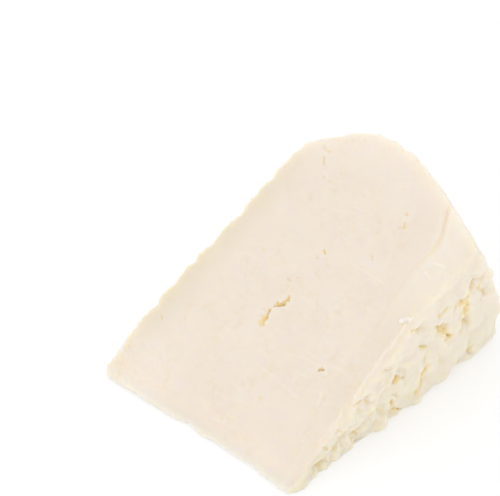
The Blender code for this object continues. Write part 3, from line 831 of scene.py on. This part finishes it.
def relief(place, out):
    """How far the real surface stands out of the even skin at a place facing this way, and its colouring."""
    radius = axis_distance(place)
    outward = out.dot(Vector((place.x, 0.0, place.z)) / radius)
    natural = ramp(*(UPPER_FADE if out.z > 0.0 else LOWER_FADE), max(abs(out.y), outward))
    upper = ramp(*CUT_FADE, out.dot(UPPER_OUT))
    lower = ramp(*CUT_FADE, out.dot(LOWER_OUT))
    below_top = -place.dot(UPPER_OUT)
    natural *= 1.0 - ramp(*FAR_FADE, out.y) * (1.0 - ramp(*CORNER_FADE, radius))
    height = stain_and_shade = cream_and_light = 0.0
    if natural > 0.0:
        facing_near = ramp(*NEAR_FADE, -out.y)
        share = RIND_SHARE if outward > abs(out.y) else 1.0
        surface, opened = natural_surface(place, facing_near)
        height += natural * share * surface
        height += natural * facing_near * mounds(place.x, place.z, NEAR_MOUNDS)
        # yellow in the pits: partly a stain, partly painted shade of the light sinking into them
        stain_and_shade = PIT_STAIN_AND_SHADE * natural * ramp(*PIT_STAIN_AND_SHADE_DEPTHS, opened)
    if upper > 0.0:
        surface, yellow, pale = upper_cut(radius, place.y)
        height += upper * surface
        stain_and_shade = max(stain_and_shade, upper * yellow)
        cream_and_light = upper * pale
    if lower > 0.0:
        surface, eye = cut_surface(radius, place.y, LOWER_EYES)
        height += lower * surface
        stain_and_shade = max(stain_and_shade, lower * ramp(0.0, EYE_STAIN_AND_SHADE_DEPTH, eye))
    beside_top = 1.0 - ramp(*EDGE_MOUND_FADE, below_top)
    if beside_top > 0.0:
        height += beside_top * mounds(radius, place.y, UPPER_EDGE_MOUNDS)
    if place.y < SMEARS_BELOW and below_top < SMEARS_WITHIN:
        smear = dents(radius, place.y, SMEARS, SMEAR_RAGGEDNESS, SMEAR_GRAIN)
        smear *= ramp(*SMEAR_FADE, out.dot(UPPER_OUT))
        height += smear
        cream_and_light = max(cream_and_light, ramp(*SMEAR_PALE_HEIGHTS, smear))
    skin, pale, warm_and_shade = shape_tints(radius, place.y, below_top, upper, natural)
    return height, {
        "skin": skin,
        "stain_and_shade": stain_and_shade,
        # real pale marks, and painted light on the strip and rim
        "cream_and_light": max(cream_and_light, pale),
        "warm_and_shade": warm_and_shade,
        # painted shade on the foot and the low ends
        "shade": painted_low_shade(place, radius, natural),
        # painted shade on the thin edge
        "painted_edge_shade": EDGE_PAINTED_SHADE * (1.0 - natural) * (1.0 - ramp(*THIN_EDGE, radius)),
    }


def near_a_mark(place, out):
    """Whether a place on the upper cut face is close to one of its eyes, specks, scratches or creases."""
    if out.dot(UPPER_OUT) < FINE_SQUARENESS:
        return False
    radius = axis_distance(place)
    marks = UPPER_EYES + SCRATCHES + CORNER_CREASE + tuple(SPECK_DENTS)
    return min(stroke_distance(radius, place.y, mark) - mark[4] for mark in marks) < FINE_REACH


def refine(bm):
    """Splits the quads of the near face and round the upper cut's marks, whose detail is finer than they."""
    bm.normal_update()
    close = {vert for vert in bm.verts if -vert.normal.y > FINE_TURN or near_a_mark(vert.co, vert.normal)}
    edges = [edge for edge in bm.edges if edge.verts[0] in close and edge.verts[1] in close]
    bmesh.ops.subdivide_edges(bm, edges=edges, cuts=1, use_grid_fill=True)


def carve(bm):
    """Moves each point of the even skin out or in as the real surface does there, and notes its colouring."""
    bm.normal_update()
    names = ("skin", "stain_and_shade", "cream_and_light", "warm_and_shade", "shade", "painted_edge_shade")
    layers = {name: bm.verts.layers.float.new(name) for name in names}
    moves = []
    for vert in bm.verts:
        height, colouring = relief(vert.co, vert.normal)
        moves.append(vert.normal * height)
        for name, value in colouring.items():
            vert[layers[name]] = value
    for vert, move in zip(bm.verts, moves):
        vert.co += move


def measure_hollows(bm):
    """Notes how far each point stands out from the surface around it, or lies below it, in millimetres."""
    bm.verts.index_update()
    bm.normal_update()
    proud = bm.verts.layers.float.new("proud")
    ends = np.array([[v.index for v in edge.verts] for edge in bm.edges])
    places = np.array([vert.co for vert in bm.verts])
    around = places.copy()
    neighbours = np.bincount(ends.ravel(), minlength=len(places))[:, None]
    for _ in range(HOLLOW_ROUNDS):
        total = np.zeros_like(around)
        for axis in range(3):
            total[:, axis] = np.bincount(ends[:, 0], around[ends[:, 1], axis], len(places))
            total[:, axis] += np.bincount(ends[:, 1], around[ends[:, 0], axis], len(places))
        around = total / neighbours
    for vert, place, mean in zip(bm.verts, places, around):
        vert[proud] = vert.normal.dot(Vector(place - mean))


def settle(bm):
    """Cuts the underside flat, where the wedge has settled on what it lies on."""
    everything = [*bm.verts, *bm.edges, *bm.faces]
    bmesh.ops.bisect_plane(
        bm, geom=everything, plane_co=(0, 0, SETTLING), plane_no=(0, 0, 1), clear_inner=True,
    )
    rim = [edge for edge in bm.edges if edge.is_boundary]
    bmesh.ops.triangle_fill(bm, use_beauty=True, use_dissolve=False, edges=rim)
    bmesh.ops.recalc_face_normals(bm, faces=bm.faces)


def move_to_frame(bm):
    """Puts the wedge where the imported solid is, in metres."""
    across = []
    for i, (low, high) in enumerate(zip(*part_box("cheese"))):
        places = [vert.co[i] for vert in bm.verts]
        across.append((low + high) / 2 - MM * (min(places) + max(places)) / 2)
    across[2] = -MM * SETTLING
    bmesh.ops.transform(bm, matrix=Matrix.Translation(across) @ Matrix.Scale(MM, 4), verts=bm.verts)


def make_wedge():
    """The whole wedge as one closed skin."""
    noise.seed_set(PATTERN)
    wedge = bpy.data.objects.new("cheese_wedge", spin_wedge())
    bpy.context.collection.objects.link(wedge)
    applied(wedge, "REMESH", mode="VOXEL", voxel_size=SKIN_SPACING)
    bm = bmesh.new()
    bm.from_mesh(wedge.data)
    for step in (press_strip, round_edges, refine, carve, measure_hollows, settle, move_to_frame):
        step(bm)
    bm.to_mesh(wedge.data)
    bm.free()
    wedge.data.shade_smooth()
    return wedge


# Materials

def linear(hex_colour):
    """An sRGB hex colour as linear red, green, blue and alpha."""
    parts = [int(hex_colour[i:i + 2], 16) / 255 for i in (0, 2, 4)]
    return (*(p / 12.92 if p <= 0.04045 else ((p + 0.055) / 1.055) ** 2.4 for p in parts), 1.0)


def add_node(material, kind, links=None, **settings):
    """Adds a node, sets its named properties and numbered or named sockets, and links sockets into it."""
    node = material.node_tree.nodes.new(kind)
    for name, value in settings.items():
        setattr(node, name, value)
    for socket, source in (links or {}).items():
        target = node.inputs[socket]
        if isinstance(source, bpy.types.NodeSocket):
            material.node_tree.links.new(source, target)
        else:
            target.default_value = source
    return node


def blank_material(name):
    """A new material without any nodes."""
    material = bpy.data.materials.new(name)
    material.use_nodes = True
    material.node_tree.nodes.clear()
    return material


def attribute(material, name):
    """A value that the mesh's points carry."""
    return add_node(material, "ShaderNodeAttribute", attribute_name=name).outputs["Fac"]


def clouds(material, place, width, detail=2.0):
    """Soft random patches about this many millimetres across."""
    links = {"Vector": place, "Scale": 1 / (width * MM), "Detail": detail}
    return add_node(material, "ShaderNodeTexNoise", links).outputs["Fac"]


def rise(material, value, low, high, top=1.0):
    """0 up to low, top from high on, and smooth between them. low may be the larger of the two."""
    links = {0: value, 1: low, 2: high, 3: 0.0, 4: top}
    return add_node(material, "ShaderNodeMapRange", links, interpolation_type="SMOOTHSTEP").outputs[0]


def product(material, one, other):
    """One value times the other."""
    return add_node(material, "ShaderNodeMath", {0: one, 1: other}, operation="MULTIPLY").outputs[0]


def blend(material, share, plain, other):
    """The plain colour, turning into the other one as the share goes from 0 to 1."""
    return add_node(material, "ShaderNodeMix", {0: share, 6: plain, 7: other}, data_type="RGBA").outputs[2]


def mosaic_colour(material, place):
    """The faint mosaic of pressed curds on the cut face, with irregular seams in some patches."""
    slow_noise = {"Vector": place, "Scale": 1 / (MOSAIC_WAVE * MM), "Detail": 2.0}
    wander = add_node(material, "ShaderNodeTexNoise", slow_noise).outputs["Color"]
    wander_by = {0: wander, 1: (MOSAIC_WANDER * MM,) * 3, 2: place}
    warped = add_node(material, "ShaderNodeVectorMath", wander_by, operation="MULTIPLY_ADD").outputs[0]
    mosaic = {"Vector": warped, "Scale": 1 / (MOSAIC_WIDTH * MM), "Randomness": 1.0}
    seams = add_node(material, "ShaderNodeTexVoronoi", mosaic, feature="DISTANCE_TO_EDGE").outputs["Distance"]
    curd_tint = add_node(material, "ShaderNodeTexVoronoi", mosaic, feature="F1").outputs["Color"]
    colour = blend(material, curd_tint, *(linear(tint) for tint in CURD_TINTS))
    wide_patches = rise(material, clouds(material, place, 16.0), 0.4, 0.65, 0.5)
    colour = blend(material, wide_patches, colour, linear(CUT_PATCH))
    patches = rise(material, clouds(material, place, 13.0), 0.42, 0.6)
    broken = product(material, patches, rise(material, clouds(material, place, 1.8, 3.0), 0.42, 0.66))
    thin_seams = product(material, broken, rise(material, seams, 0.16, 0.0, 0.4))
    return blend(material, thin_seams, colour, linear(SEAM))


def cut_colour(material, place):
    """The cut face: mottles and the knife's paler veils over its mosaic, and the far edge's yellow band,
    partly painted shade.
    """
    colour = mosaic_colour(material, place)
    mottles = rise(material, clouds(material, place, 2.4, 4.0), 0.5, 0.72, 0.22)
    colour = blend(material, mottles, colour, linear(MOTTLE))
    knife = add_node(material, "ShaderNodeMapping", {"Vector": place, "Scale": (1.0, 0.35, 1.0)}).outputs[0]
    streaks = rise(material, clouds(material, knife, 1.3, 4.0), 0.46, 0.68, 0.3)
    veil = product(material, streaks, rise(material, clouds(material, place, 15.0), 0.48, 0.6))
    colour = blend(material, veil, colour, linear(VEIL))
    # The far edge's yellower band: partly its own colour, partly painted shade and reflected warm light
    band_warmth_and_shade = product(material, attribute(material, "warm_and_shade"), FAR_BAND_WARMTH_AND_SHADE)
    return blend(material, band_warmth_and_shade, colour, linear(WARM_BAND_AND_SHADE))


def skin_colour(material, place):
    """The natural skin: creamier, and greyer yellow towards the foot."""
    up = add_node(material, "ShaderNodeSeparateXYZ", {0: place}).outputs["Z"]
    low, high = SKIN_HEIGHTS
    colour = blend(material, rise(material, up, low * MM, high * MM), linear(LOW_SKIN), linear(HIGH_SKIN))
    patches = rise(material, clouds(material, place, 6.0), 0.4, 0.7, 0.5)
    return blend(material, patches, colour, linear(SKIN_PATCH))


def fresh_curd_cheese():
    """Moist fresh cheese: pale cream, lit from within, yellow where light sinks into its cracks and eyes."""
    material = blank_material("fresh curd cheese")
    place = add_node(material, "ShaderNodeTexCoord").outputs["Object"]
    cut = cut_colour(material, place)
    colour = blend(material, attribute(material, "skin"), cut, skin_colour(material, place))
    # Painted shade: the foot, the near face's low end and the strip's low end turn greyer
    colour = blend(material, attribute(material, "shade"), colour, linear(PAINTED_SHADE_GREY))
    # Painted shade: the thin edge turns darker and cooler, against the light that shines through it
    colour = blend(material, attribute(material, "painted_edge_shade"), colour, linear(THIN_EDGE_PAINTED_SHADE))
    # Stains, partly painted shade in the eyes, creases, pits and the fold's groove
    stain_and_shade = product(material, attribute(material, "stain_and_shade"), MARK_STRENGTH)
    colour = blend(material, stain_and_shade, colour, linear(STAIN_AND_SHADE))
    proud = attribute(material, "proud")
    # Hollows turn yellower: partly the whey's own yellow, partly painted shade of the light sinking into them
    colour = blend(material, rise(material, proud, -0.03, -0.5, 0.75), colour, linear(HOLLOW_YELLOW_AND_SHADE))
    # Painted highlight: places that stand out of the surface around them turn paler
    colour = blend(material, rise(material, proud, 0.1, 1.0, 0.5), colour, linear(PROUD_HIGHLIGHT))
    # Pale smears, knife lines and flecks, and painted light on the strip and rim
    cream_and_light = product(material, attribute(material, "cream_and_light"), MARK_STRENGTH)
    colour = blend(material, cream_and_light, colour, linear(CREAM_AND_LIGHT))

    grain = clouds(material, place, 1.1)
    bump = add_node(material, "ShaderNodeBump", {"Height": grain, "Distance": 0.05 * MM, "Strength": 0.5})
    shader = add_node(material, "ShaderNodeBsdfPrincipled", {
        "Base Color": colour,
        "Normal": bump.outputs[0],
        "Roughness": 0.55,
        "IOR": 1.42,
        "Subsurface Weight": 1.0,
        "Subsurface Radius": (1.0, 0.88, 0.45),
        "Subsurface Scale": 3.0 * MM,
    })
    output = add_node(material, "ShaderNodeOutputMaterial")
    material.node_tree.links.new(shader.outputs[0], output.inputs[0])
    return material


def white_sweep():
    """White light table: it glows a little, so that the wedge's underside isn't dark."""
    material = blank_material("white light table")
    shader = add_node(material, "ShaderNodeBsdfPrincipled", {
        "Base Color": linear(FLOOR_GREY),
        "Roughness": 0.8,
        "Specular IOR Level": 0.2,
        "Emission Color": linear(WHITE),
        "Emission Strength": 0.4,
    })
    output = add_node(material, "ShaderNodeOutputMaterial")
    material.node_tree.links.new(shader.outputs[0], output.inputs[0])
    return material


# Floor, light and camera

def make_floor():
    """The white light table that the wedge lies on."""
    bm = bmesh.new()
    bmesh.ops.create_grid(bm, x_segments=1, y_segments=1, size=FLOOR_REACH)
    mesh = bpy.data.meshes.new("floor")
    bm.to_mesh(mesh)
    bm.free()
    floor = bpy.data.objects.new("floor", mesh)
    floor.data.materials.append(white_sweep())
    bpy.context.collection.objects.link(floor)


def soft_light(name, azimuth, elevation, distance, size, watts):
    """A large square light, placed round the wedge as the camera is, and turned to it."""
    light = bpy.data.lights.new(name, "AREA")
    light.size = size
    light.energy = watts
    lamp = bpy.data.objects.new(name, light)
    back = direction(azimuth, elevation)
    lamp.location = back * distance
    lamp.rotation_euler = back.to_track_quat("Z", "Y").to_euler()
    bpy.context.collection.objects.link(lamp)


def direction(azimuth, elevation):
    """From the wedge towards a place round it: azimuth 0 looks along +Y, 90 along -X."""
    a, e = math.radians(azimuth), math.radians(elevation)
    return Vector((math.sin(a) * math.cos(e), -math.cos(a) * math.cos(e), math.sin(e)))


def make_camera():
    """The camera that sees the wedge as the photo does."""
    camera = bpy.data.cameras.new("camera")
    camera.sensor_fit = "HORIZONTAL"
    camera.lens = camera.sensor_width * DISTANCE / FRAME_WIDTH
    eye = bpy.data.objects.new("camera", camera)
    back = direction(AZIMUTH, ELEVATION)
    eye.location = MM * (Vector(AIM) + DISTANCE * back)
    eye.rotation_euler = back.to_track_quat("Z", "Y").to_euler()
    bpy.context.collection.objects.link(eye)
    bpy.context.scene.camera = eye


def make_light():
    """A white room with one soft window."""
    scene = bpy.context.scene
    scene.view_settings.view_transform = "Standard"
    world = bpy.data.worlds.new("white room")
    scene.world = world
    world.use_nodes = True
    world.node_tree.nodes["Background"].inputs["Color"].default_value = linear(WHITE)
    world.node_tree.nodes["Background"].inputs["Strength"].default_value = 1.0
    soft_light("window", azimuth=-100.0, elevation=55.0, distance=1.2, size=1.2, watts=1.0)


wedge = make_wedge()
wedge.data.materials.append(fresh_curd_cheese())
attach(wedge, "root")
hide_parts("cheese")
make_floor()
make_light()
make_camera()
